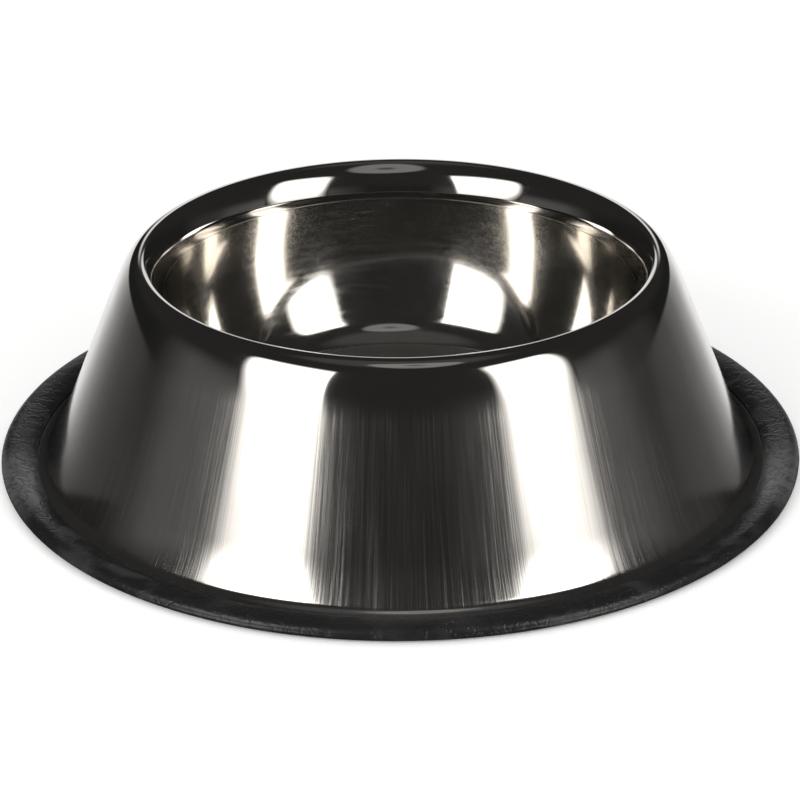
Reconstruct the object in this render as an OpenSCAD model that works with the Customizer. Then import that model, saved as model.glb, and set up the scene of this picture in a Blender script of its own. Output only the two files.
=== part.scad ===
// Stainless steel pet bowl of the non-tip kind: a flared skirt with a rolled rim,
// a drawn feeding dish seamed behind the rim's lip, and a rubber ring under the flange.
// Every piece is a solid of revolution about +Z. The bowl stands on z = 0.

/* [Rim] */
// Diameter of the circle along the top of the rim
rim_d = 158.2; // [140:0.2:184]
// Height of the top of the rim above the floor
rim_h = 66.5; // [60:0.1:80]
// How far outside the top circle the wall, drawn on upwards, would reach the rim's height
shoulder_w = 4.4; // [3:0.1:9]
// Depth below the top of the rim at which the straight wall starts
shoulder_h = 12.8; // [8:0.2:18]
// How far the shoulder swells from its chord towards that corner, as a share of the way
shoulder_swell_share = 0.55; // [0.4:0.01:0.65]
// Radius of the rim where it turns over into the mouth
crest_r = 2.3; // [1.8:0.1:3.6]
// How far the crest's tight turn goes, in degrees past the top
crest_turn = 44; // [36:1:60]
// Radius of the long flank that leads down to the dish
flank_r = 16.4; // [13:0.2:22]
// Angle that the flank still leans from upright at its lower edge
flank_end_tilt = 5; // [2:0.5:8]

/* [Skirt] */
// Thickness of the skirt's sheet steel
skirt_sheet = 0.6; // [0.5:0.1:0.8]
// Width of the flat flange that shows between the foot and the rubber ring
flange_w = 11.5; // [7:0.5:18]
// Height at which the wall bends to the upright foot
bend_h = 19.3; // [16:0.1:24]
// Radius of that bend
bend_r = 54; // [30:1:60]
// Radius of the hollow fillet between the foot and the flange
foot_fillet_r = 3.8; // [2:0.1:5]

/* [Feeding dish] */
// Thickness of the dish's sheet steel
dish_sheet = 0.6; // [0.5:0.1:0.8]
// Depth from the top of the rim to the dish's floor
dish_depth = 56.4; // [50:0.2:59]
// Radius of the dish's side wall, seen in section
dish_wall_r = 95; // [80:1:120]
// Radius of the corner between the dish's wall and its floor
dish_corner_r = 14; // [8:1:20]
// How much of the flank the dish's edge overlaps, in degrees of its arc
seam_overlap = 24; // [12:1:30]
// Play between the two sheets in the seam
seam_gap = 0.05; // [0.02:0.01:0.1]

/* [Rubber ring] */
// Outer diameter of the rubber ring
ring_d = 250; // [220:1:290]
// Width of the ring's section
ring_w = 11; // [9:0.5:12]
// Height of the ring's section
ring_h = 4.4; // [3.8:0.1:6]
// Thickness of the lip under the flange
ring_lip = 0.9; // [0.7:0.1:1.4]
// Depth of the groove that holds the flange
groove_depth = 6; // [4:0.5:7]
// Play of the flange in the groove
groove_gap = 0.1; // [0.05:0.05:0.3]
// Thickness of the ring's upper edge, where it meets the steel
ring_edge = 0.3; // [0.2:0.1:0.6]
// How far the ring's highest line lies in from its outer edge
crown_inset = 3.4; // [2.5:0.1:4.5]
// Height of the ring's widest line
bulge_h = 2.1; // [1.4:0.1:2.6]
// How far the ring's outer edge draws in at the floor
toe_inset = 2.1; // [1:0.1:3]

/* [Hidden] */
// Facets that a full turn is drawn with
$fn = 128;
// Largest step, in degrees, between two points of a round stretch of a section
arc_step = 6;

rim_r = rim_d / 2;
ring_r = ring_d / 2;
// The ring's inner edge, the groove's bottom and the flange's outer edge
ring_in_r = ring_r - ring_w;
groove_r = ring_in_r + groove_depth;
flange_r = groove_r - groove_gap;
// The flange lies on the ring's lower lip
flange_top = ring_lip + skirt_sheet;

// A station is a point of a section with the direction of its visible face:
// [radius, height, angle of the face's normal from the outward direction]

// Steps that an arc takes between two directions of its normal
function arc_steps(a0, a1) = max(1, ceil(abs(a1 - a0) / arc_step));

// Stations along an arc whose face bulges towards its normal
function bulging(c, r, a0, a1) =
    let (n = arc_steps(a0, a1))
    [for (i = [0 : n]) let (a = a0 + (a1 - a0) * i / n) [c[0] + r * cos(a), c[1] + r * sin(a), a]];

// Stations along an arc whose face is hollow
function hollow(c, r, a0, a1) = bulging(c, -r, a0, a1);

// Parameter at which an ellipse's normal points along angle a
function ellipse_at(w, h, a) = atan2(h * sin(a), w * cos(a));

// Stations along an ellipse between two directions of its normal
function elliptic(c, w, h, a0, a1) =
    let (n = arc_steps(a0, a1), t0 = ellipse_at(w, h, a0), t1 = ellipse_at(w, h, a1))
    [for (i = [0 : n]) let (t = t0 + (t1 - t0) * i / n)
        [c[0] + w * cos(t), c[1] + h * sin(t), atan2(w * sin(t), h * cos(t))]];

// Direction of the normal of a face that runs along v, visible on its right
function normal_of(v) = atan2(v[1], v[0]) - 90;

// Stations along a conic arc that leaves p0 and reaches p1 along the lines to their shared
// corner, and swells from its chord by a share of the way to that corner
function conic(p0, corner, p1, swell_share) =
    let (w = swell_share / (1 - swell_share), n = arc_steps(normal_of(corner - p0), normal_of(p1 - corner)))
    [for (i = [0 : n])
        let (u = i / n, a = (1 - u) * (1 - u), b = u * (1 - u), c = u * u,
             p = (a * p0 + 2 * w * b * corner + c * p1) / (a + 2 * w * b + c),
             run = w * a * (corner - p0) + b * (p1 - p0) + w * c * (p1 - corner))
        [p[0], p[1], normal_of(run)]];

// The point a depth d behind the face of a station
function behind(s, d) = [s[0] - d * cos(s[2]), s[1] - d * sin(s[2])];

// Round edge of a sheet of thickness t after its last station
function round_edge(s, t) =
    let (m = behind(s, t / 2), n = ceil(180 / (4 * arc_step)))
    [for (i = [1 : n - 1]) let (a = s[2] + 180 * i / n) m + t / 2 * [cos(a), sin(a)]];

// Closed section of a sheet of thickness t whose visible face runs along the stations
function sheet_section(face, t, edge = []) =
    concat([for (s = face) [s[0], s[1]]], edge,
           [for (i = [len(face) - 1 : -1 : 0]) behind(face[i], t)]);

// Rim: a tight turn over the crest, then the long flank down into the mouth
crest_c = [rim_r, rim_h - crest_r];
crest_face = bulging(crest_c, crest_r, 90, 90 + crest_turn);
crest_end = crest_face[len(crest_face) - 1];
flank_c = behind(crest_end, flank_r);
flank_face = bulging(flank_c, flank_r, crest_end[2], 180 - flank_end_tilt);
lip_end = flank_face[len(flank_face) - 1];

// Foot, wall and shoulder of the skirt: the wall runs straight from the bend to the corner
// that the shoulder rounds off. The bend ends above the fillet, and it is hollow where the
// corner stands outside the foot
foot_r = ring_in_r - flange_w;
shoulder_corner = [rim_r + shoulder_w, rim_h];
wall_tilt = atan2(foot_r - shoulder_corner[0], rim_h - bend_h);
wall_top = shoulder_corner + shoulder_h * [tan(wall_tilt), -1];
shoulder_face = conic(wall_top, shoulder_corner, [rim_r, rim_h], shoulder_swell_share);
bend_room = bend_h - flange_top - foot_fillet_r;
bend_full_r = min(bend_r, bend_room / tan(abs(wall_tilt) / 2));
bend_turn_r = wall_tilt < 0 ? -bend_full_r : bend_full_r;
bend_reach = bend_turn_r * tan(wall_tilt / 2);
bend_face = bulging([foot_r - bend_turn_r, bend_h - bend_reach], bend_turn_r, 0, wall_tilt);
fillet_face = hollow([foot_r + foot_fillet_r, flange_top + foot_fillet_r], foot_fillet_r, 90, 0);
skirt_face = concat([[flange_r, flange_top, 90]], fillet_face, bend_face, shoulder_face,
                    crest_face, flank_face);

// Dish: its edge follows the back of the lip, then the wall, the corner and the floor
seam_r = flank_r - skirt_sheet - seam_gap;
seam_face = bulging(flank_c, seam_r, 180 - flank_end_tilt - seam_overlap, 180 - flank_end_tilt);
dish_top = seam_face[len(seam_face) - 1];
dish_floor_h = rim_h - dish_depth;
// Direction of the face where the wall hands over to the corner, so that the floor
// comes out at its depth
corner_start = asin((dish_top[1] - dish_floor_h + dish_wall_r * sin(flank_end_tilt) - dish_corner_r)
                    / (dish_wall_r - dish_corner_r));
dish_wall_c = behind(dish_top, -dish_wall_r);
dish_wall_face = hollow(dish_wall_c, dish_wall_r, 180 - flank_end_tilt, 180 - corner_start);
dish_low = dish_wall_face[len(dish_wall_face) - 1];
dish_corner_face = hollow(behind(dish_low, -dish_corner_r), dish_corner_r, 180 - corner_start, 90);
dish_face = concat(seam_face, dish_wall_face, dish_corner_face, [[0, dish_floor_h, 90]]);

// Ring: its slope is an arc that leaves the crown level and meets the steel at its thin edge
slope_w = ring_w - crown_inset;
slope_drop = ring_h - flange_top - groove_gap - ring_edge;
slope_r = (slope_w * slope_w + slope_drop * slope_drop) / (2 * slope_drop);
slope_turn = asin(slope_w / slope_r);
crown_r = ring_r - crown_inset;

// Stainless skirt in one sheet: flange, foot, wall, shoulder, rolled rim and lip
module outer_body() {
    color([0.72, 0.70, 0.69])
        rotate_extrude()
            polygon(sheet_section(skirt_face, skirt_sheet, round_edge(lip_end, skirt_sheet)));
}

// Drawn dish that holds the food, its edge seamed behind the lip
module feeding_dish() {
    color([0.85, 0.84, 0.82])
        rotate_extrude()
            polygon(sheet_section(dish_face, dish_sheet));
}

// Black rubber ring that grips the flange and keeps the bowl from sliding
module rubber_ring() {
    outside = concat(
        elliptic([ring_r - toe_inset, bulge_h], toe_inset, bulge_h, -90, 0),
        elliptic([crown_r, bulge_h], crown_inset, ring_h - bulge_h, 0, 90),
        bulging([crown_r, ring_h - slope_r], slope_r, 90, 90 + slope_turn));
    color([0.10, 0.10, 0.11])
        rotate_extrude()
            polygon(concat(
                [for (s = outside) [s[0], s[1]]],
                [[ring_in_r, flange_top + groove_gap],
                 [groove_r, flange_top + groove_gap],
                 [groove_r, ring_lip],
                 [ring_in_r, ring_lip],
                 [ring_in_r, 0]]));
}

outer_body();
feeding_dish();
rubber_ring();
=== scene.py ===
"""Looks of a stainless steel non-tip pet bowl, in Blender 4.5.

The bowl is three pieces of revolution about +Z: a sheet-steel skirt that rolls over into the mouth,
a drawn feeding dish seamed behind the lip, and a rubber ring that grips the flange. Each one is
computed as a section that is carried once round the axis, and stands for one CAD node. Lengths are
in metres and angles in degrees.
"""

import logging
import math
from dataclasses import dataclass
from enum import Enum
from functools import reduce
from typing import Callable

import bpy
import numpy as np
from mathutils import Matrix, Vector

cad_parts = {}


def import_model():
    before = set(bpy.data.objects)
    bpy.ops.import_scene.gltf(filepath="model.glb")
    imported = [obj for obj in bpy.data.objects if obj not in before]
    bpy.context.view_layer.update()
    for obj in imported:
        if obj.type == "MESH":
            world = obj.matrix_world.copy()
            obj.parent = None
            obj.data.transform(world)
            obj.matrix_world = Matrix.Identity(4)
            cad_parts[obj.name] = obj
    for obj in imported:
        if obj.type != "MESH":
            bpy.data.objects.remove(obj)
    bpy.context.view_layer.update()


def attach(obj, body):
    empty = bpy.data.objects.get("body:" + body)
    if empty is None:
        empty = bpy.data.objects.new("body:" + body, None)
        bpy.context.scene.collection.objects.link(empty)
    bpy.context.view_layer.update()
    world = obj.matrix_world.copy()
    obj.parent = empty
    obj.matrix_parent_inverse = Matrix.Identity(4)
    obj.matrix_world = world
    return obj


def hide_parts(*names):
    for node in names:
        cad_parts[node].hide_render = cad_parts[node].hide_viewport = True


LOG = logging.getLogger("pet_bowl")
MM = 0.001
BODY = "root"
# Steps of a full turn, and the largest steps along a section
TURN_STEPS = 384
ARC_STEP = 4.0
RUN_STEP = 1.6 * MM
CONIC_STEPS = 25
# Stations closer together than this are one
SAME_PLACE = 1e-7
# Edges that turn by more than this stay sharp
SHARP_ANGLE = 40.0

Array = np.ndarray
Object = bpy.types.Object
Socket = bpy.types.NodeSocket
Material = bpy.types.Material
Tree = bpy.types.NodeTree
# Radius and height of a point, ends of a range, a colour, and what a node's input takes
Point = tuple[float, float]
Span = tuple[float, float]
Color = tuple[float, float, float, float]
Value = float | Color | Socket


class Slot(Enum):
    """Material slots of the record."""

    SKIRT = "skirt_steel"
    DISH = "dish_steel"
    RING = "ring_rubber"


@dataclass
class Stations:
    """Points along a section, with the direction in which the visible face looks.

    Attributes:
        r: distance from the axis.
        z: height above the floor.
        a: angle of the face's normal, from outwards (0) over upwards (90) to inwards (180).
    """

    r: Array
    z: Array
    a: Array

    def behind(self, depth: float) -> "Stations":
        """The same stations moved a depth behind their face."""
        turn = np.radians(self.a)
        return Stations(self.r - depth * np.cos(turn), self.z - depth * np.sin(turn), self.a)

    def end(self) -> tuple[float, float, float]:
        """Radius, height and face angle of the last station."""
        return float(self.r[-1]), float(self.z[-1]), float(self.a[-1])

    def picked(self, keep: Array | slice) -> "Stations":
        """Some of the stations."""
        return Stations(self.r[keep], self.z[keep], self.a[keep])

    def back(self, sheet: float) -> "Stations":
        """Back of a sheet of this face: every second station and both ends, last one first."""
        keep = np.unique(np.r_[0:len(self.r):2, len(self.r) - 1])
        return self.behind(sheet).picked(keep[::-1])


def joined(*parts: Stations) -> Stations:
    """Stations of several stretches that follow one another, with each shared point once."""
    r, z, a = (np.concatenate([getattr(p, k) for p in parts]) for k in "rza")
    return Stations(r, z, a).picked(np.r_[True, np.hypot(np.diff(r), np.diff(z)) > SAME_PLACE])


def from_face(place: tuple[float, float, float], depth: float) -> Point:
    """The point a depth behind the face at one station."""
    turn = math.radians(place[2])
    return place[0] - depth * math.cos(turn), place[1] - depth * math.sin(turn)


def arc(centre: Point, radius: float, start: float, end: float) -> Stations:
    """Stations along a circular arc: the centre plus the radius along the normal.

    Args:
        centre: radius and height of the arc's centre.
        radius: its radius, below zero where the face is hollow.
        start: angle of the first normal.
        end: angle of the last normal.

    Returns:
        Stations no further apart than ARC_STEP and RUN_STEP allow.
    """
    swept = abs(end - start)
    count = math.ceil(max(swept / ARC_STEP, math.radians(swept) * abs(radius) / RUN_STEP, 1))
    a = np.linspace(start, end, count + 1)
    turn = np.radians(a)
    return Stations(centre[0] + radius * np.cos(turn), centre[1] + radius * np.sin(turn), a)


def ellipse(centre: Point, w: float, h: float, start: float, end: float) -> Stations:
    """Stations along an ellipse between two directions of its normal.

    The normal at parameter t points along (w sin t, h cos t), so a normal at angle a belongs
    to the t whose tangent is h sin a over w cos a.

    Args:
        centre: radius and height of the centre.
        w: half width.
        h: half height.
        start: angle of the first normal.
        end: angle of the last normal.

    Returns:
        Stations in even steps of the parameter.
    """
    turns = [math.radians(a) for a in (start, end)]
    ends = [math.atan2(h * math.sin(turn), w * math.cos(turn)) for turn in turns]
    t = np.linspace(*ends, math.ceil(abs(end - start) / ARC_STEP) + 1)
    a = np.degrees(np.arctan2(w * np.sin(t), h * np.cos(t)))
    return Stations(centre[0] + w * np.cos(t), centre[1] + h * np.sin(t), a)


def straight(start: Point, end: Point, a: float) -> Stations:
    """Stations along a straight run: its start plus a share of the way to its end.

    Args:
        start: first point.
        end: last point.
        a: angle of the normal, the same all along.

    Returns:
        Stations no further apart than RUN_STEP.
    """
    t = np.linspace(0, 1, math.ceil(math.dist(start, end) / RUN_STEP) + 1)
    r, z = (p + t * (q - p) for p, q in zip(start, end))
    return Stations(r, z, np.full_like(t, a))


def conic(p0: Point, corner: Point, p1: Point, swell_share: float) -> Stations:
    """Stations along a conic arc that leaves p0 and reaches p1 along the lines to a shared corner.

    It is the rational quadratic curve on the three points, whose middle weight is the share s of
    the way from the chord to the corner that the arc swells, as s over 1 - s.

    Args:
        p0: first point.
        corner: where the two tangents meet.
        p1: last point.
        swell_share: how far the arc swells from its chord towards the corner.

    Returns:
        Stations in even steps of the curve's parameter.
    """
    p0, corner, p1 = (np.array(p) for p in (p0, corner, p1))
    w = swell_share / (1 - swell_share)
    u = np.linspace(0, 1, CONIC_STEPS + 1)[:, None]
    a, b, c = (1 - u) ** 2, u * (1 - u), u ** 2
    p = (a * p0 + 2 * w * b * corner + c * p1) / (a + 2 * w * b + c)
    run = w * a * (corner - p0) + b * (p1 - p0) + w * c * (p1 - corner)
    return Stations(p[:, 0], p[:, 1], np.degrees(np.arctan2(run[:, 1], run[:, 0])) - 90)


def rounded_edge(face: Stations, sheet: float) -> Stations:
    """Half round that joins the last station of a face to the back of its sheet."""
    place = face.end()
    return arc(from_face(place, sheet / 2), sheet / 2, place[2], place[2] + 180)


def paired(u: Array, v: Array) -> Array:
    """UV pairs of the corners of faces, one row each."""
    return np.stack(np.broadcast_arrays(u, v), -1).reshape(-1, 2)


@dataclass
class Turned:
    """A section carried once round the axis.

    Attributes:
        name: name of the piece.
        face: stations of the whole closed section, one side of the sheet after the other.
        first_side: how many of them belong to its first side.
        capped: True if the section starts and ends on the axis instead of closing on itself.
        swell: offset of a point along the face's normal, by turn angle and height.
    """

    name: str
    face: Stations
    first_side: int
    capped: bool = False
    swell: Callable[[Array, Array], Array] | None = None

    def grid(self) -> tuple[Array, Array]:
        """Points of the surface: radius times cosine and sine of the turn, and height.

        Returns:
            Points by station and step, and the run along the section.
        """
        turn = np.arange(TURN_STEPS)[None, :] * 2 * math.pi / TURN_STEPS
        r, z, tilt = self.face.r[:, None], self.face.z[:, None], np.radians(self.face.a)[:, None]
        run = np.r_[0, np.cumsum(np.hypot(np.diff(self.face.r), np.diff(self.face.z)))]
        offset = self.swell(turn, z) if self.swell else 0 * turn
        r, z = r + offset * np.cos(tilt), z + offset * np.sin(tilt)
        return np.stack([r * np.cos(turn), r * np.sin(turn), z + 0 * turn], -1), run

    def mesh(self) -> Object:
        """The piece as a closed smooth mesh with a UV map of turns and metres.

        Neighbouring stations and steps span a quad. An end of the section that lies on the axis
        is one point, with a fan of triangles round it.

        Returns:
            The object, linked to the scene at the origin. Its second material is that of the
            section beyond its first side.
        """
        points, run = self.grid()
        rows, steps = points.shape[:2]
        first, last = (1, rows - 1) if self.capped else (0, rows)
        ring, count = points[first:last].reshape(-1, 3), last - first
        i = np.arange(count - 1 if self.capped else count)[:, None]
        j = np.arange(steps)[None, :]
        low, high, right = i * steps, (i + 1) % count * steps, (j + 1) % steps
        quads = np.stack([low + j, low + right, high + right, high + j], -1)
        faces = quads.reshape(-1, 4).tolist()
        u = np.stack([j, j + 1, j + 1, j], -1) / steps
        v = np.stack([run[first + i]] * 2 + [np.r_[run, run[-1]][first + i + 1]] * 2, -1)
        uvs = [paired(u, v)]
        station = np.repeat(first + i[:, 0], steps)
        if self.capped:
            j, right, end = j[0], right[0], (count - 1) * steps
            poles = np.full((2, steps), [[len(ring)], [len(ring) + 1]])
            ring = np.vstack([ring, [0, 0, self.face.z[0]], [0, 0, self.face.z[-1]]])
            faces += np.stack([poles[0], right, j], -1).tolist()
            faces += np.stack([end + j, end + right, poles[1]], -1).tolist()
            uvs.append(paired(np.stack([j + 0.5, j + 1, j], -1) / steps, run[[0, 1, 1]]))
            uvs.append(paired(np.stack([j, j + 1, j + 0.5], -1) / steps, run[[-2, -2, -1]]))
            station = np.r_[station, np.repeat([0, rows - 2], steps)]
        mesh = bpy.data.meshes.new(self.name)
        mesh.from_pydata(ring.tolist(), [], faces)
        layer = mesh.uv_layers.new(name="section")
        layer.data.foreach_set("uv", np.vstack(uvs).astype(np.float32).ravel())
        mesh.polygons.foreach_set("use_smooth", np.ones(len(faces), bool))
        behind = (station >= self.first_side - 1).astype(np.int32)
        mesh.polygons.foreach_set("material_index", behind)
        mesh.update()
        mesh.set_sharp_from_angle(angle=math.radians(SHARP_ANGLE))
        piece = bpy.data.objects.new(self.name, mesh)
        bpy.context.scene.collection.objects.link(piece)
        return piece


@dataclass
class OuterBody:
    """Sheet-steel pressing: flange, foot, wall, shoulder, rolled rim and lip.

    Attributes:
        sheet: thickness of the sheet.
        flange_r: outer radius of the flange.
        flange_top: height of the flange's upper face.
        wall_r: radius that the straight wall would have at wall_h.
        wall_h: that height.
        sweep_h: height below which the wall sweeps outward to the flange.
        sweep_end: angle of the face where the sweep hands over to the fillet.
        fillet_r: radius of the hollow fillet between sweep and flange.
        rim_r: radius of the circle along the top.
        rim_h: height of the top.
        shoulder_w: how far outside the top circle the wall's line reaches the top's height.
        shoulder_h: depth below the top at which the straight wall ends.
        swell_share: how far the shoulder swells towards that corner.
        crest_r: radius of the turn over the top.
        crest_turn: angle of that turn.
        flank_r: radius of the flank that leads into the mouth.
        flank_end: angle of the face at the flank's lower edge.
    """

    sheet: float = 0.6 * MM
    flange_r: float = 119.9 * MM
    flange_top: float = 1.5 * MM
    wall_r: float = 102.5 * MM
    wall_h: float = 19.3 * MM
    sweep_h: float = 14 * MM
    sweep_end: float = 34
    fillet_r: float = 5 * MM
    rim_r: float = 79.1 * MM
    rim_h: float = 66.5 * MM
    shoulder_w: float = 4.4 * MM
    shoulder_h: float = 12.8 * MM
    swell_share: float = 0.55
    crest_r: float = 2.3 * MM
    crest_turn: float = 44
    flank_r: float = 16.4 * MM
    flank_end: float = 175

    def crest(self) -> Stations:
        """The tight turn over the top."""
        centre = (self.rim_r, self.rim_h - self.crest_r)
        return arc(centre, self.crest_r, 90, 90 + self.crest_turn)

    def flank_centre(self) -> Point:
        """Centre of the flank's arc, which goes on from the end of the crest."""
        return from_face(self.crest().end(), self.flank_r)

    def face(self) -> Stations:
        """The visible face, from the flange's outer edge over the rim to the lip.

        The straight wall lies on the line from the shoulder's corner to wall_r at wall_h. Below
        sweep_h a hollow arc leaves it on the same tangent, and the fillet takes over where that
        arc looks along sweep_end. What height the fillet leaves, over the difference of the
        sines of the sweep's two angles, is the sweep's radius.

        Returns:
            Its stations.
        """
        corner = (self.rim_r + self.shoulder_w, self.rim_h)
        tilt = math.atan2(self.wall_r - corner[0], self.rim_h - self.wall_h)
        slope, turn, wall_a = math.tan(tilt), math.radians(self.sweep_end), math.degrees(tilt)
        wall_top = (corner[0] + self.shoulder_h * slope, corner[1] - self.shoulder_h)
        wall_low = (self.wall_r + (self.wall_h - self.sweep_h) * slope, self.sweep_h)
        rise = self.sweep_h - self.flange_top - self.fillet_r * (1 - math.sin(turn))
        sweep_r = rise / (math.sin(turn) - math.sin(tilt))
        sweep_c = from_face((*wall_low, wall_a), -sweep_r)
        sweep = arc(sweep_c, -sweep_r, self.sweep_end, wall_a)
        fillet_c = from_face((sweep.r[0], sweep.z[0], self.sweep_end), -self.fillet_r)
        return joined(
            straight((self.flange_r, self.flange_top), (fillet_c[0], self.flange_top), 90),
            arc(fillet_c, -self.fillet_r, 90, self.sweep_end),
            sweep,
            straight(wall_low, wall_top, wall_a),
            conic(wall_top, corner, (self.rim_r, self.rim_h), self.swell_share),
            self.crest(),
            arc(self.flank_centre(), self.flank_r, 90 + self.crest_turn, self.flank_end))

    def build(self) -> Turned:
        """The pressing as a closed section.

        Returns:
            The turned piece: face, round edge of the lip, and back.
        """
        face = self.face()
        section = joined(face, rounded_edge(face, self.sheet), face.back(self.sheet))
        return Turned("outer_skirt", section, len(face.r))

    def dress(self, effects: "Effects") -> Object:
        """The piece in brushed and polished steel, in its CAD node's place."""
        finishes = [SkirtSteel().make(effects), SheetBack("skirt_back").make(effects)]
        return stand_in(self.build(), "outer_body", finishes)


@dataclass
class FeedingDish:
    """Drawn dish whose edge is seamed behind the lip of the rim.

    Attributes:
        sheet: thickness of the sheet.
        gap: play between the two sheets of the seam.
        overlap: how much of the flank its edge follows, as an angle.
        wall_r: radius of its wall.
        corner_r: radius of the corner between wall and floor.
        floor_h: height of its floor.
        wave: how far the drawn wall waves in and out.
        wave_span: height over which the waves rise and fade out again.
        wave_run: height in which a wave's angle turns by its own rise.
    """

    sheet: float = 0.6 * MM
    gap: float = 0.05 * MM
    overlap: float = 24
    wall_r: float = 95 * MM
    corner_r: float = 14 * MM
    floor_h: float = 10.1 * MM
    wave: float = 0.02 * MM
    wave_span: float = 46 * MM
    wave_run: float = 9 * MM

    # Share, number round the axis, rise and phase of each wave
    WAVES = ((1, 5, 0.9, 0), (0.7, 8, -1.3, 1), (0.5, 13, 1.9, 2), (0.6, 3, 2.3, 4))

    def face(self, body: OuterBody) -> Stations:
        """The visible face, from its upper edge down the wall and over the floor to the axis.

        The wall hands over to the corner at the angle that brings the floor out at its height:
        the sine of that angle is the drop that is left over the difference of the two radii.

        Args:
            body: the skirt whose lip it is seamed to.

        Returns:
            Stations of the seam, the hollow wall, the corner and the level floor.
        """
        centre, seam_r = body.flank_centre(), body.flank_r - body.sheet - self.gap
        seam = arc(centre, seam_r, body.flank_end - self.overlap, body.flank_end)
        top, tilt = seam.end(), math.radians(180 - body.flank_end)
        drop = top[1] - self.floor_h + self.wall_r * math.sin(tilt) - self.corner_r
        start = 180 - math.degrees(math.asin(drop / (self.wall_r - self.corner_r)))
        wall = arc(from_face(top, -self.wall_r), -self.wall_r, top[2], start)
        corner = arc(from_face(wall.end(), -self.corner_r), -self.corner_r, start, 90)
        return joined(seam, wall, corner, straight(corner.end()[:2], (0, self.floor_h), 90))

    def build(self, body: OuterBody) -> Turned:
        """The dish as a closed section that starts and ends on the axis.

        Args:
            body: the skirt whose lip it is seamed to.

        Returns:
            The turned piece, with the waviness of drawn sheet in its wall.
        """
        face = self.face(body)
        back = face.back(self.sheet)
        return Turned("drawn_dish", joined(back, face), len(back.r), True, self.waviness)

    def dress(self, body: OuterBody, effects: "Effects") -> Object:
        """The piece in mirror polished steel, in its CAD node's place."""
        finishes = [SheetBack("dish_back").make(effects), DishSteel().make(effects)]
        return stand_in(self.build(body), "feeding_dish", finishes)

    def waviness(self, turn: Array, z: Array) -> Array:
        """Offset of the drawn wall: a sum of slow waves round the axis and down the wall.

        Args:
            turn: angle round the axis.
            z: height.

        Returns:
            The offset, which is none on the floor and fades out towards the seam.
        """
        fade = np.sin(math.pi * np.clip((z - self.floor_h) / self.wave_span, 0, 1)) ** 2
        down = z / self.wave_run
        waves = sum(share * np.sin(count * turn + rise * down + phase)
                    for share, count, rise, phase in self.WAVES)
        return self.wave * fade * waves


@dataclass
class RubberRing:
    """Rubber ring with a groove that grips the flange.

    Attributes:
        ring_r: its outer radius.
        ring_w: width of its section.
        ring_h: height of its section.
        lip: thickness of the lip under the flange.
        groove_depth: depth of the groove.
        groove_top: height of the groove's upper side.
        edge: thickness of its upper edge at the steel.
        crown_inset: how far the highest line lies in from the outer edge.
        bulge_h: height of the widest line.
        toe_inset: how far the outer edge draws in at the floor.
    """

    ring_r: float = 125 * MM
    ring_w: float = 11 * MM
    ring_h: float = 4.4 * MM
    lip: float = 0.9 * MM
    groove_depth: float = 6 * MM
    groove_top: float = 1.6 * MM
    edge: float = 0.3 * MM
    crown_inset: float = 3.4 * MM
    bulge_h: float = 2.1 * MM
    toe_inset: float = 2.1 * MM

    def build(self) -> Turned:
        """The ring as a closed section: toe, crown, slope, and the groove from top to bottom.

        The slope is an arc that leaves the crown level and falls by drop over run, so its radius
        is the sum of their squares over twice the drop.

        Returns:
            The turned piece.
        """
        toe, crown_r, inner = (self.ring_r - w for w in (
            self.toe_inset, self.crown_inset, self.ring_w))
        drop, run = self.ring_h - self.groove_top - self.edge, self.ring_w - self.crown_inset
        slope_r = (run ** 2 + drop ** 2) / (2 * drop)
        slope_end = 90 + math.degrees(math.asin(run / slope_r))
        outside = joined(
            ellipse((toe, self.bulge_h), self.toe_inset, self.bulge_h, -90, 0),
            ellipse((crown_r, self.bulge_h), self.crown_inset, self.ring_h - self.bulge_h, 0, 90),
            arc((crown_r, self.ring_h - slope_r), slope_r, 90, slope_end))
        deep = inner + self.groove_depth
        path = [outside.end()[:2], (inner, self.groove_top), (deep, self.groove_top),
                (deep, self.lip), (inner, self.lip), (inner, 0), (toe, 0)]
        sides = [180, -90, 180, 90, 180, -90]
        runs = [straight(a, b, side) for a, b, side in zip(path, path[1:], sides)]
        return Turned("grip_ring", joined(outside, *runs).picked(slice(-1)), len(outside.r))

    def dress(self, effects: "Effects") -> Object:
        """The piece in black rubber all round, in its CAD node's place."""
        finishes = [RingRubber().make(effects)] * 2
        return stand_in(self.build(), "rubber_ring", finishes)


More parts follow.
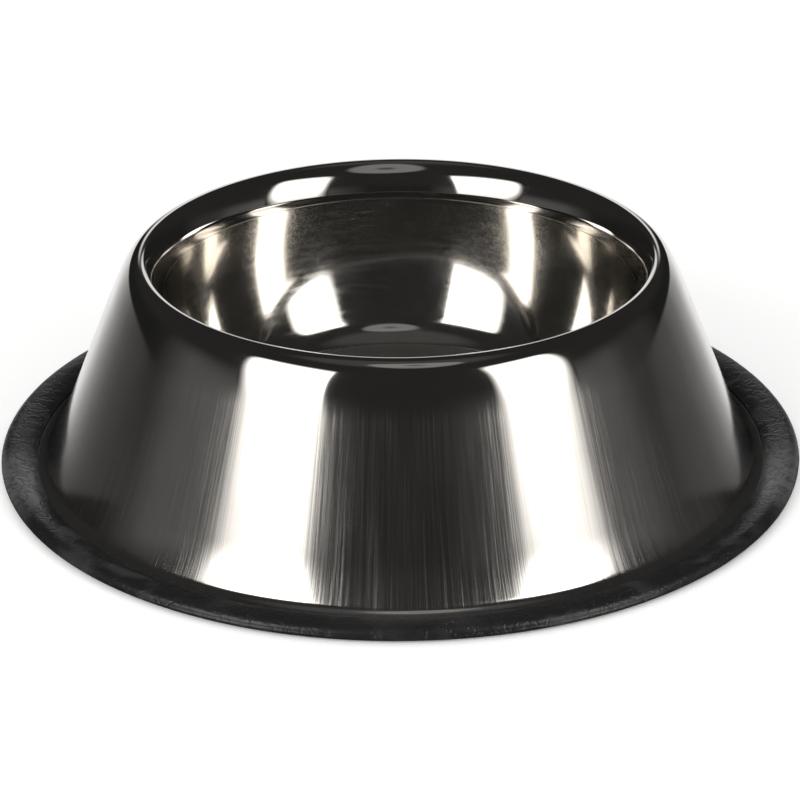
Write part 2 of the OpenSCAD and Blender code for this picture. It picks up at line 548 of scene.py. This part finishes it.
class Graph:
    """Adds nodes to a node tree and joins them."""

    def __init__(self, tree: Tree) -> None:
        """Keeps the tree that nodes are added to, emptied."""
        self.tree = tree
        tree.nodes.clear()

    def add(self, kind: str, inputs: dict | None = None, **settings: object) -> bpy.types.Node:
        """Adds one node.

        Args:
            kind: the node's type, without the ShaderNode that it starts with.
            inputs: value or socket for each input, by name or index.
            settings: properties of the node.

        Returns:
            The node.
        """
        node = self.tree.nodes.new("ShaderNode" + kind)
        for name, value in settings.items():
            setattr(node, name, value)
        for name, value in (inputs or {}).items():
            if isinstance(value, Socket):
                self.tree.links.new(value, node.inputs[name])
            else:
                node.inputs[name].default_value = value
        return node

    def put_out(self, value: Socket) -> Tree:
        """Makes a value the output of a node group, and returns the group."""
        self.tree.links.new(value, self.tree.nodes.new("NodeGroupOutput").inputs[0])
        return self.tree

    def math(self, operation: str, *values: Value) -> Socket:
        """Result of one arithmetic step on numbers or sockets."""
        return self.add("Math", dict(enumerate(values)), operation=operation).outputs[0]

    def product(self, *values: Value) -> Socket:
        """Product of two or more numbers or sockets, from left to right."""
        return reduce(lambda done, value: self.math("MULTIPLY", done, value), values)

    def ramp(self, value: Value, low: Value, high: Value, start: Value = 0,
             end: Value = 1) -> Socket:
        """Smooth step of a value from low to high, as a number from start to end."""
        ends = {"From Min": low, "From Max": high, "To Min": start, "To Max": end}
        return self.add("MapRange", {"Value": value, **ends},
                        interpolation_type="SMOOTHSTEP").outputs["Result"]

    def mix(self, factor: Value, a: Value, b: Value) -> Socket:
        """Colour between a and b by a factor."""
        return self.add("Mix", {0: factor, 6: a, 7: b}, data_type="RGBA").outputs[2]

    def place(self) -> Socket:
        """Place of a point in the coordinates of its object."""
        return self.add("TexCoord").outputs["Object"]

    def xyz(self, place: Socket) -> bpy.types.NodeOutputs:
        """X, Y and Z of a place."""
        return self.add("SeparateXYZ", {0: place}).outputs

    def noise(self, place: Socket, scale: Value, detail: Value, distortion: float = 0) -> Socket:
        """Noise at a place, with about scale features per unit of length."""
        look = {"Scale": scale, "Detail": detail, "Distortion": distortion}
        return self.add("TexNoise", {"Vector": place, **look}).outputs[0]


def gray(level: float) -> Color:
    """Neutral colour of a level."""
    return level, level, level, 1


class Paint(Graph):
    """Graph of one material, which can place the shared effects."""

    def __init__(self, name: str) -> None:
        """Starts a new material."""
        self.material = bpy.data.materials.new(name)
        self.material.use_nodes = True
        super().__init__(self.material.node_tree)

    def close(self, shader: bpy.types.Node) -> Material:
        """Joins a shader to the material's output, and returns the material."""
        self.add("OutputMaterial", {"Surface": shader.outputs[0]})
        return self.material

    def use(self, tree: Tree, **inputs: float) -> Socket:
        """Places an effect with some of its inputs set, and returns its value."""
        return self.add("Group", inputs, node_tree=tree).outputs["Value"]

    def blend(self, start: Value, end: Value, factor: Value) -> Socket:
        """Number between start and end by a factor."""
        return self.add("Mix", {0: factor, 2: start, 3: end}, data_type="FLOAT").outputs[0]

    def bumps(self, *layers: tuple[Socket, float]) -> Socket:
        """Normal after bump layers, one on another.

        Args:
            layers: height socket of each layer and its depth in metres.

        Returns:
            The socket of the normal.
        """
        below = {}
        for height, depth in layers:
            inputs = {"Height": height, "Distance": depth, "Strength": 1.0, **below}
            below = {"Normal": self.add("Bump", inputs).outputs[0]}
        return below["Normal"]

    def finish(self, **inputs: Value) -> Material:
        """Closes the graph with a shader that takes these inputs, underscores for spaces."""
        named = {name.replace("_", " "): value for name, value in inputs.items()}
        return self.close(self.add("BsdfPrincipled", named))


def flat_piece(name: str, corners: list[Vector], paint: Material) -> Object:
    """Staged face through four corners.

    Args:
        name: its name.
        corners: the corners, anticlockwise as seen from the side that it faces.
        paint: its material.

    Returns:
        The object, which isn't part of the bowl.
    """
    mesh = bpy.data.meshes.new(name)
    mesh.from_pydata(corners, [], [list(range(len(corners)))])
    mesh.materials.append(paint)
    mesh.update()
    made = bpy.data.objects.new(name, mesh)
    bpy.context.scene.collection.objects.link(made)
    return made


@dataclass(frozen=True)
class Softbox:
    """Upright lamp panel that light and reflections see, and the camera doesn't.

    Attributes:
        name: its name.
        azimuth: direction of its centre line, from the viewer's side (0) towards +X (90).
        sides: where its lower corners lie to the left and the right of that line.
        lean: how far its two edges shift sideways per metre of height.
        top: height of its upper edge.
        fade: width of the soft strip along its left and its right edge.
        level: radiance of its upper part, as reflections see it.
        distance: how far it stands from the axis.
    """

    name: str
    azimuth: float
    sides: Span
    lean: Span
    top: float
    fade: Span
    level: float
    distance: float = 1.2

    # Height of the soft strip along the upper edge
    TOP_FADE = 0.4
    # Heights between which a panel comes to its level, and its share of the level below them
    RISE = (0.1, 0.7)
    LOW_SHARE = 0.27
    # Radiance that matt surfaces get from it
    MATT_LEVEL = 0.5
    TINT = (1, 0.985, 0.96, 1)

    def build(self) -> None:
        """Places the panel so that it shines towards the bowl."""
        turn = math.radians(self.azimuth)
        ahead = Vector((math.sin(turn), -math.cos(turn), 0))
        across = Vector((math.cos(turn), math.sin(turn), 0))
        left, right = (ahead * self.distance + across * side for side in self.sides)
        ups = [Vector((0, 0, self.top)) + across * lean * self.top for lean in self.lean]
        corners = [left, left + ups[0], right + ups[1], right]
        panel = flat_piece(self.name, corners, self.paint(across))
        panel.visible_camera = panel.visible_shadow = False

    def paint(self, across: Vector) -> Material:
        """Emission of one side that fades out towards the panel's edges and dims at the floor.

        Args:
            across: direction from its left to its right edge.

        Returns:
            The material.
        """
        g = Paint(self.name)
        place = g.place()
        side = g.add("VectorMath", {0: place, 1: across}, operation="DOT_PRODUCT")
        height = g.xyz(place)["Z"]
        from_left, from_right = (
            g.math("SUBTRACT", side.outputs["Value"], g.product(height, lean))
            for lean in self.lean)
        left = g.ramp(from_left, self.sides[0], self.sides[0] + self.fade[0])
        right = g.ramp(from_right, self.sides[1] - self.fade[1], self.sides[1], 1, 0)
        top = g.ramp(height, self.top - self.TOP_FADE, self.top, 1, 0)
        front = g.math("SUBTRACT", 1.0, g.add("NewGeometry").outputs["Backfacing"])
        matt = g.add("LightPath").outputs["Is Diffuse Ray"]
        bright = g.ramp(height, *self.RISE, self.LOW_SHARE * self.level, self.level)
        level = g.product(left, right, top, front, g.ramp(matt, 0, 1, bright, self.MATT_LEVEL))
        return g.close(g.add("Emission", {"Color": self.TINT, "Strength": level}))


class Studio:
    """Camera, floor, surroundings and softboxes of the photograph.

    The camera's numbers come from fitting the bowl's circles to the photograph's outline, and the
    lamps' places from the directions in which the steel mirrors them. Heights of the surroundings
    are sines of the elevation.
    """

    LENS = 135.0
    SENSOR = 36.0
    CLIP = (0.05, 20)
    PLACE = (0.0, -0.8507, 0.41845)
    PITCH = 25.32
    ROLL = -0.352

    # Level of the daylight on matt surfaces, colour of the floor, and what it emits for the camera
    DAYLIGHT = 0.80
    FLOOR = 0.95
    FLOOR_LIFT = 0.16
    # Colour and roughness of the floor's gloss, and how far the two planes lie below the bowl
    GLOSS = 0.85
    GLOSS_ROUGHNESS = 0.12
    FLOOR_DEPTH = 0.0002
    GLOSS_DEPTH = 0.0001
    REACH = 6.0

    PANELS = (
        Softbox("softbox_left", -45.5, (-0.30, 0.372), (-0.24, 0), 1.36, (0.20, 0.04), 5.0),
        Softbox("softbox_right", 53, (-0.38, 0.335), (0, 0.08), 1.44, (0.17, 0.20), 5.0),
    )
    # Level of the surroundings that the steel mirrors, by azimuth from the viewer's side, first
    # above the horizon and then below it, where the pale sweep behind the bowl shows
    ROOM = (
        (-180, 0.016), (-115, 0.016), (-106, 0.02), (-98, 0.05), (-88, 0.10), (-68, 0.11),
        (-45, 0.11), (-23, 0.06), (-15, 0.018), (15, 0.018), (25, 0.05), (45, 0.12), (70, 0.13),
        (80, 0.10), (88, 0.09), (96, 0.05), (104, 0.04), (111, 0.04), (123, 0.016), (180, 0.016))
    SWEEP = (
        (-180, 1.0), (-158, 1.0), (-152, 0.7), (-146, 0.42), (-139, 0.24), (-132, 0.13),
        (-124, 0.08), (-110, 0.05), (-98, 0.05), (98, 0.05), (110, 0.07), (124, 0.10),
        (136, 0.2), (146, 0.42), (152, 0.7), (158, 1.0), (180, 1.0))
    # Levels overhead, and heights between which the sweep turns into the room, the room into the
    # ceiling and the ceiling into its middle
    CEILING = 0.024
    ZENITH = 0.07
    HORIZON = (-0.01, 0.035)
    ROOM_TOP = (0.17, 0.42)
    CEILING_TOP = (0.90, 0.97)
    # White backdrop straight behind: the half width in degrees inside which it is full and at
    # which it ends, the same for its height, and the ray depths that tell first reflections
    BACKDROP_HALF = (8.4, 14)
    BACKDROP_TOP = (0.35, 0.39)
    FIRST_REFLECTION = (2.4, 2.6)

    # Overhead lamp: its middle, what it faces, radius and level, the radii between which its dark
    # hub brightens, the hub's share of the level, and where its edge starts to fade
    LAMP = (0.028, -0.15, 0.42)
    LAMP_AIM = (0, 0.05, 0.04)
    LAMP_R = 0.095
    LAMP_LEVEL = 0.22
    HUB = (0.0114, 0.0285)
    HUB_SHARE = 0.3
    LAMP_EDGE = 0.076

    def camera(self) -> None:
        """Places the camera by its right, up and forward directions."""
        pitch, roll = math.radians(self.PITCH), math.radians(self.ROLL)
        ahead = Vector((0, math.cos(pitch), -math.sin(pitch)))
        right, up = Vector((1, 0, 0)), Vector((0, math.sin(pitch), math.cos(pitch)))
        right, up = (math.cos(roll) * right + math.sin(roll) * up,
                     math.cos(roll) * up - math.sin(roll) * right)
        data = bpy.data.cameras.new("camera")
        data.lens, data.sensor_width, data.sensor_fit = self.LENS, self.SENSOR, "HORIZONTAL"
        data.clip_start, data.clip_end = self.CLIP
        camera = bpy.data.objects.new("camera", data)
        bpy.context.scene.collection.objects.link(camera)
        turn = Matrix((right, up, -ahead)).transposed().to_4x4()
        camera.matrix_world = Matrix.Translation(self.PLACE) @ turn
        bpy.context.scene.camera = camera

    @staticmethod
    def by_azimuth(g: Graph, turn: Socket, stops: tuple[Span, ...]) -> Socket:
        """Level of the surroundings by azimuth.

        Args:
            g: graph of the world.
            turn: azimuth as a share of the full turn, from 0 to 1.
            stops: pairs of an azimuth in degrees and a level.

        Returns:
            The socket of the level.
        """
        node = g.add("ValToRGB", {0: turn})
        elements = node.color_ramp.elements
        elements[0].color, elements[1].color = gray(stops[0][1]), gray(stops[-1][1])
        for azimuth, level in stops[1:-1]:
            elements.new((azimuth + 180) / 360).color = gray(level)
        return node.outputs[0]

    def surroundings(self) -> None:
        """World: white for the camera, plain daylight for matt surfaces, and a room for mirrors.

        Mirror rays see the pale sweep below the horizon behind the bowl, the dark room above it
        and round it, and on a first reflection also the white backdrop straight behind.
        """
        world = bpy.data.worlds.new("studio")
        bpy.context.scene.world = world
        world.use_nodes = True
        g = Graph(world.node_tree)
        x, y, z = g.xyz(g.add("TexCoord").outputs["Generated"])
        azimuth = g.math("ARCTAN2", x, g.product(y, -1.0))
        turn = g.math("ADD", g.math("DIVIDE", azimuth, 2 * math.pi), 0.5)
        above, below = (self.by_azimuth(g, turn, stops) for stops in (self.ROOM, self.SWEEP))
        ceiling = g.mix(g.ramp(z, *self.CEILING_TOP), gray(self.CEILING), gray(self.ZENITH))
        room = g.mix(g.ramp(z, *self.ROOM_TOP, 1, 0), ceiling, above)
        rays = g.add("LightPath").outputs
        off_axis = g.math("SUBTRACT", math.pi, g.math("ABSOLUTE", azimuth))
        half = (math.radians(angle) for angle in self.BACKDROP_HALF)
        behind = g.product(g.ramp(off_axis, *half, 1, 0), g.ramp(z, *self.BACKDROP_TOP, 1, 0),
                           g.ramp(rays["Ray Depth"], *self.FIRST_REFLECTION, 1, 0))
        room = g.mix(behind, room, gray(1))
        room = g.mix(g.ramp(z, *self.HORIZON), below, room)
        sharp = g.math("MAXIMUM", rays["Is Glossy Ray"], rays["Is Transmission Ray"])
        lit = g.mix(sharp, gray(self.DAYLIGHT), room)
        seen = g.mix(rays["Is Camera Ray"], lit, gray(1))
        sky = g.add("Background", {"Color": seen, "Strength": 1.0})
        g.add("OutputWorld", {"Surface": sky.outputs[0]})

    def level(self, depth: float, back: float) -> list[Vector]:
        """Corners of a level plane so far below the bowl, which reaches back to a Y."""
        far = self.REACH
        return [Vector((x, y, -depth))
                for x, y in ((-far, -far), (far, -far), (far, back), (-far, back))]

    def ground(self) -> None:
        """Pale matt floor, and over its front half the gloss that only reflections see."""
        g = Paint("floor")
        matt = g.add("BsdfDiffuse", {"Color": gray(self.FLOOR)})
        seen = g.add("LightPath").outputs["Is Camera Ray"]
        lift = g.add("Emission", {"Strength": g.product(seen, self.FLOOR_LIFT)})
        paint = g.close(g.add("AddShader", {0: matt.outputs[0], 1: lift.outputs[0]}))
        floor = flat_piece("floor", self.level(self.FLOOR_DEPTH, self.REACH), paint)
        floor.visible_glossy = False
        g = Paint("floor_gloss")
        gloss = {"Color": gray(self.GLOSS), "Roughness": self.GLOSS_ROUGHNESS}
        paint = g.close(g.add("BsdfGlossy", gloss))
        mirror = flat_piece("floor_gloss", self.level(self.GLOSS_DEPTH, 0), paint)
        mirror.visible_camera = mirror.visible_diffuse = mirror.visible_shadow = False

    def overhead(self) -> None:
        """Dim round lamp over the front of the bowl, with a dark hub."""
        g = Paint("overhead_lamp")
        away = g.add("VectorMath", {0: g.place(), 1: self.LAMP}, operation="DISTANCE")
        away = away.outputs["Value"]
        glow = g.product(g.ramp(away, *self.HUB, self.HUB_SHARE, 1),
                         g.ramp(away, self.LAMP_EDGE, self.LAMP_R, 1, 0), self.LAMP_LEVEL)
        shine = g.add("Emission", {"Strength": glow})
        clear = g.add("BsdfTransparent")
        paint = g.close(g.add("AddShader", {0: clear.outputs[0], 1: shine.outputs[0]}))
        middle = Vector(self.LAMP)
        ahead = Vector([aim - at for aim, at in zip(self.LAMP_AIM, self.LAMP)]).normalized()
        side = ahead.cross(Vector((0, 0, 1))).normalized() * self.LAMP_R
        up = side.cross(ahead)
        corners = [middle - side - up, middle + side - up, middle + side + up, middle - side + up]
        lamp = flat_piece("overhead_lamp", corners, paint)
        lamp.visible_camera = lamp.visible_shadow = lamp.visible_diffuse = False

    def build(self) -> None:
        """Sets up everything that isn't the bowl."""
        bpy.context.scene.view_settings.view_transform = "Standard"
        self.camera()
        self.surroundings()
        self.ground()
        self.overhead()
        for panel in self.PANELS:
            panel.build()
            LOG.info("%s stands at azimuth %.1f", panel.name, panel.azimuth)


def effect(name: str, inputs: dict[str, float]) -> tuple[Graph, list[Socket]]:
    """Starts a node group with number inputs and one number output, Value.

    Args:
        name: name of the group.
        inputs: default value of each input.

    Returns:
        The graph of its nodes and the sockets of its inputs.
    """
    tree = bpy.data.node_groups.new(name, "ShaderNodeTree")
    kind = "NodeSocketFloat"
    for label, value in inputs.items():
        made = tree.interface.new_socket(label, in_out="INPUT", socket_type=kind)
        made.default_value = value
    tree.interface.new_socket("Value", in_out="OUTPUT", socket_type=kind)
    g = Graph(tree)
    return g, list(tree.nodes.new("NodeGroupInput").outputs)[:len(inputs)]


class Effects:
    """Node groups that several finishes share. All of them read object coordinates."""

    # How much a streak slants: metres of height per metre of radius
    STREAK_SLANT = 0.4
    # Smallest radius that they are worked out at
    STREAK_CORE = 1e-4
    # How far a slower noise thins and thickens specks
    GRAIN_PATCH = 0.35
    # Distance of the noise from its middle at which a crease ends
    CREASE_HALF = 0.09

    def __init__(self) -> None:
        """Builds the groups."""
        self.streaks = self.make_streaks()
        self.grain = self.make_grain()
        self.blotches = self.make_blotches()
        self.creases = self.make_creases()

    def make_streaks(self) -> Tree:
        """Noise that is stretched along the axis or round it.

        Returns:
            The group: noise at the direction from the axis times Round, and the slanted height
            times Along.
        """
        g, (round_, along, detail, low, high) = effect(
            "axis_streaks", {"Round": 240, "Along": 40, "Detail": 2, "Low": 0.3, "High": 0.7})
        x, y, z = g.xyz(g.place())
        away = g.math("SQRT", g.math("ADD", g.product(x, x), g.product(y, y)))
        radius = g.math("MAXIMUM", away, self.STREAK_CORE)
        height = g.math("SUBTRACT", z, g.product(radius, self.STREAK_SLANT))
        place = g.add("CombineXYZ", {
            0: g.product(g.math("DIVIDE", x, radius), round_),
            1: g.product(g.math("DIVIDE", y, radius), round_),
            2: g.product(height, along)})
        noise = g.noise(place.outputs[0], 1.0, detail)
        return g.put_out(g.ramp(noise, low, high))

    def make_grain(self) -> Tree:
        """Fine specks, as dense as a slower noise says.

        Returns:
            The group: the sum of both noises between two levels.
        """
        g, (scale, low, high, patch) = effect(
            "grain", {"Scale": 2200, "Low": 0.6, "High": 0.7, "Patch": 30})
        place = g.place()
        fine, slow = g.noise(place, scale, 1.0), g.noise(place, patch, 2.0)
        dense = g.product(g.math("SUBTRACT", slow, 0.5), self.GRAIN_PATCH)
        return g.put_out(g.ramp(g.math("ADD", fine, dense), low, high))

    def make_blotches(self) -> Tree:
        """Slow noise between two levels, as a group."""
        g, (scale, low, high) = effect("blotches", {"Scale": 40, "Low": 0.35, "High": 0.7})
        return g.put_out(g.ramp(g.noise(g.place(), scale, 3.0, 0.6), low, high))

    def make_creases(self) -> Tree:
        """Shallow wrinkles.

        Returns:
            The group: the distance of a distorted noise from its middle, where that is small.
        """
        g, (scale,) = effect("creases", {"Scale": 150})
        off = g.math("SUBTRACT", g.noise(g.place(), scale, 2.0, 1.2), 0.5)
        return g.put_out(g.ramp(g.math("ABSOLUTE", off), 0, self.CREASE_HALF))


@dataclass(frozen=True)
class SkirtSteel:
    """Stainless sheet, mirror polished on the rim and brushed in upright hairlines on the wall.

    Attributes:
        color: reflectance.
        stained: reflectance where grease dulls it.
        stain_share: how far the stains go towards that.
        polished: roughness of the rim.
        brushed: roughness of the wall, between its hairlines and on them.
        scuffed: what coarse scuffs add to it.
        fade: heights between which the brushing ends below the rim.
        band_depth: depth of the wide bands in the wall.
        hair_depth: depth of the hairlines.
        anisotropy: how much wider highlights are round the axis than along it.
    """

    color: Color = (0.66, 0.635, 0.605, 1)
    stained: Color = (0.56, 0.535, 0.505, 1)
    stain_share: float = 0.5
    polished: float = 0.045
    brushed: Span = (0.095, 0.145)
    scuffed: float = 0.07
    fade: Span = (50 * MM, 59 * MM)
    band_depth: float = 4.5e-6
    hair_depth: float = 1.2e-6
    anisotropy: float = 0.7

    def make(self, effects: Effects) -> Material:
        """Builds the material on the shared effects."""
        g = Paint("skirt_steel")
        wall = g.ramp(g.xyz(g.place())["Z"], *self.fade, 1, 0)
        hairs = g.use(effects.streaks, Round=290, Along=30, Detail=2, Low=0.35, High=0.65)
        scuffs = g.use(effects.streaks, Round=210, Along=24, Detail=4, Low=0.54, High=0.74)
        bands = g.use(effects.streaks, Round=60, Along=9, Detail=1, Low=0.2, High=0.8)
        stains = g.use(effects.blotches, Scale=38, Low=0.35, High=0.75)
        rough = g.math("ADD", g.blend(*self.brushed, hairs), g.product(scuffs, self.scuffed))
        return g.finish(
            Base_Color=g.mix(g.product(stains, self.stain_share), self.color, self.stained),
            Metallic=1.0, Roughness=g.blend(self.polished, rough, wall),
            Anisotropic=self.anisotropy,
            Tangent=g.add("Tangent", direction_type="RADIAL", axis="Z").outputs[0],
            Normal=g.bumps((g.product(bands, wall), self.band_depth),
                           (g.product(hairs, wall), self.hair_depth)))


@dataclass(frozen=True)
class DishSteel:
    """Mirror polished drawn sheet with dried water specks, spinning marks and a grey haze.

    Attributes:
        color: reflectance.
        dull: reflectance where it is hazed.
        haze_share: how far the haze goes towards that.
        polished: roughness of the mirror.
        marked: roughness of the spinning marks in the haze.
        dusty: roughness of the dust.
        specked: roughness of a speck.
        high: heights between which the dust thickens and the specks come in.
        dust_share: how thick the dust is below and above them.
        speck_share: how thick the specks are above them.
        mark_depth: depth of the spinning marks.
    """

    color: Color = (0.72, 0.69, 0.64, 1)
    dull: Color = (0.60, 0.57, 0.53, 1)
    haze_share: float = 0.6
    polished: float = 0.05
    marked: float = 0.14
    dusty: float = 0.3
    specked: float = 0.42
    high: Span = (22 * MM, 44 * MM)
    dust_share: Span = (0.12, 0.40)
    speck_share: float = 0.35
    mark_depth: float = 8e-7

    def make(self, effects: Effects) -> Material:
        """Builds the material on the shared effects."""
        g = Paint("dish_steel")
        high = g.ramp(g.xyz(g.place())["Z"], *self.high)
        specks = g.use(effects.grain, Scale=3000, Low=0.60, High=0.68, Patch=45)
        dust = g.use(effects.grain, Scale=5600, Low=0.52, High=0.62, Patch=22)
        haze = g.use(effects.blotches, Scale=30, Low=0.3, High=0.75)
        marks = g.use(effects.streaks, Round=7, Along=900, Detail=3, Low=0.35, High=0.7)
        rough = g.blend(self.polished, self.marked, g.product(haze, marks))
        rough = g.blend(rough, self.dusty, g.product(dust, g.blend(*self.dust_share, high)))
        rough = g.blend(rough, self.specked, g.product(high, self.speck_share, specks))
        return g.finish(
            Base_Color=g.mix(g.product(haze, self.haze_share), self.color, self.dull),
            Metallic=1.0, Roughness=rough, Normal=g.bumps((marks, self.mark_depth)))


@dataclass(frozen=True)
class SheetBack:
    """Unpolished side of a pressed sheet: dull, with slow stains.

    Attributes:
        name: name of the material.
        color: reflectance.
        roughness: range of roughness.
        mark_depth: depth of the marks of the pressing.
    """

    name: str
    color: Color = (0.52, 0.505, 0.485, 1)
    roughness: Span = (0.26, 0.42)
    mark_depth: float = 3e-6

    def make(self, effects: Effects) -> Material:
        """Builds the material on the shared effects."""
        g = Paint(self.name)
        stains = g.use(effects.blotches, Scale=45, Low=0.3, High=0.75)
        marks = g.use(effects.streaks, Round=5, Along=700, Detail=3, Low=0.35, High=0.7)
        return g.finish(Base_Color=self.color, Metallic=1.0,
                        Roughness=g.blend(*self.roughness, stains),
                        Normal=g.bumps((marks, self.mark_depth)))


@dataclass(frozen=True)
class RingRubber:
    """Black rubber with a dull sheen, wrinkles, light scuffs, a little dust, and a painted sheen of
    light at its two sides.

    Attributes:
        color: colour of the rubber.
        scuffed: colour where it is scuffed or worn.
        painted_sheen: lighter colour that paints a sheen of light onto the two sides.
        dusty: colour of the dust.
        wear_share: how far worn places go towards the scuffed colour.
        dust_share: how far dust goes towards its colour.
        roughness: range of roughness.
        sheen_x: distances to the side between which the painted sheen comes in.
        sheen_front: places along Y between which it comes in.
        sheen_back: places along Y between which it ends.
        sheen_share: how strong the painted sheen is inside the wrinkles and between them.
        crease_depth: depth of the wrinkles.
        pore_depth: depth of the pores.
    """

    color: Color = (0.0095, 0.0095, 0.0105, 1)
    scuffed: Color = (0.035, 0.035, 0.037, 1)
    painted_sheen: Color = (0.085, 0.085, 0.088, 1)
    dusty: Color = (0.25, 0.24, 0.23, 1)
    wear_share: float = 0.8
    dust_share: float = 0.5
    roughness: Span = (0.36, 0.52)
    sheen_x: Span = (102 * MM, 114 * MM)
    sheen_front: Span = (-60 * MM, -36 * MM)
    sheen_back: Span = (-24 * MM, -4 * MM)
    sheen_share: Span = (0.45, 1.0)
    crease_depth: float = 7e-5
    pore_depth: float = 8e-6

    def make(self, effects: Effects) -> Material:
        """Builds the material on the shared effects."""
        g = Paint("ring_rubber")
        scuffs = g.use(effects.blotches, Scale=90, Low=0.5, High=0.8)
        dust = g.use(effects.grain, Scale=1500, Low=0.74, High=0.79, Patch=60)
        pores = g.use(effects.grain, Scale=2600, Low=0.4, High=0.75, Patch=60)
        creases = g.use(effects.creases, Scale=170)
        worn = g.use(effects.blotches, Scale=26, Low=0.55, High=0.72)
        x, y, _ = g.xyz(g.place())
        # Painted sheen: a lighter colour at the two sides, broken up by the wrinkles, stands in for
        # light that the slope catches there.
        sheen_mask = g.product(g.ramp(g.math("ABSOLUTE", x), *self.sheen_x),
                         g.ramp(y, *self.sheen_front), g.ramp(y, *self.sheen_back, 1, 0),
                         g.blend(*self.sheen_share, creases))
        color = g.mix(scuffs, self.color, self.scuffed)
        color = g.mix(g.product(worn, self.wear_share), color, self.scuffed)
        color = g.mix(sheen_mask, color, self.painted_sheen)
        return g.finish(
            Base_Color=g.mix(g.product(dust, self.dust_share), color, self.dusty),
            Roughness=g.blend(*self.roughness, scuffs),
            Normal=g.bumps((creases, self.crease_depth), (pores, self.pore_depth)))


def stand_in(turned: Turned, node: str,
             finishes: list[Material]) -> Object:
    """Makes and dresses a piece, and stands it in for its CAD node.

    Args:
        turned: the piece's section.
        node: the CAD node that it replaces.
        finishes: materials of the section's first side and of the rest.

    Returns:
        The piece.
    """
    piece = turned.mesh()
    for finish in finishes:
        piece.data.materials.append(finish)
    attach(piece, BODY)
    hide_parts(node)
    return piece


def main() -> None:
    """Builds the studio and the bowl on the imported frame."""
    logging.basicConfig(level=logging.INFO, format="%(name)s: %(message)s")
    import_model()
    Studio().build()
    body, effects = OuterBody(), Effects()
    for piece in (body.dress(effects), FeedingDish().dress(body, effects),
                  RubberRing().dress(effects)):
        LOG.info("%s has %d faces", piece.name, len(piece.data.polygons))


if __name__ == "__main__":
    main()
